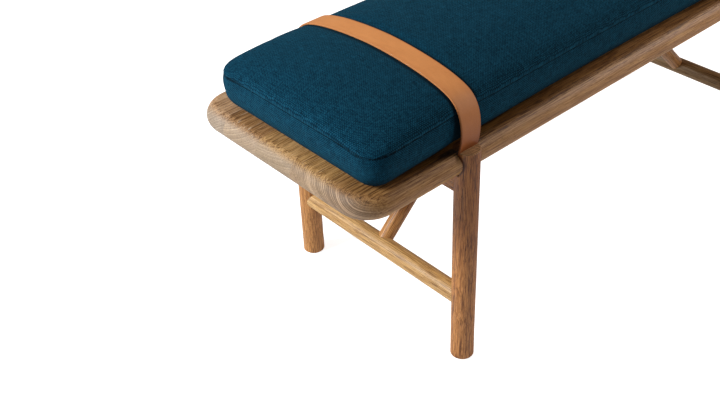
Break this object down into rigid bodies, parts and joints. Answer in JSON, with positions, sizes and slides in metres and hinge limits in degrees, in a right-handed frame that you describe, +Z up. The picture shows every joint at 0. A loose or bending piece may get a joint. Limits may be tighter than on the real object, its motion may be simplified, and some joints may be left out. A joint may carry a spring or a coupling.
{
  "type": "bench",
  "caption": "Low oak bench with round lapped legs, rounded seat board, sloping braces, a crowned cloth cushion and leather straps over it.",
  "frame": {"origin": "middle of the bench's footprint, on the floor", "axes": "+X along the bench, +Y towards its back, +Z up"},
  "size_m": [1.2498, 0.414, 0.506],
  "materials": {
    "seat_oak": "oiled oak, open pores, satin",
    "leg_oak": "oiled oak, warm brown, satin",
    "stretcher_oak": "oiled oak, golden, satin",
    "teal_cloth": "plain-woven slubby cloth, teal",
    "foam": "cut foam",
    "tan_leather": "smooth vegetable-tanned leather with cut edges",
    "zinc_steel": "zinc-plated"
  },
  "bodies": {
    "root": {"seat_stave_front": "seat_oak", "seat_stave_front_inner": "seat_oak", "seat_stave_middle": "seat_oak", "seat_stave_back_inner": "seat_oak", "seat_stave_back": "seat_oak", "leg_front_left": "leg_oak", "leg_front_right": "leg_oak", "leg_back_left": "leg_oak", "leg_back_right": "leg_oak", "top_rail_left": "leg_oak", "top_rail_right": "leg_oak", "stretcher_left": "stretcher_oak", "stretcher_right": "stretcher_oak", "brace_left": "leg_oak", "brace_right": "leg_oak", "lap_dowels": "seat_oak", "seat_screws": "zinc_steel", "screw_washers": "zinc_steel", "cushion_top_panel": "teal_cloth", "cushion_side_band": "teal_cloth", "cushion_base_panel": "teal_cloth", "cushion_foam": "foam", "zip_tape": "teal_cloth", "zip_slider": "zinc_steel", "strap_left": "tan_leather", "strap_right": "tan_leather"}
  },
  "joints": []
}
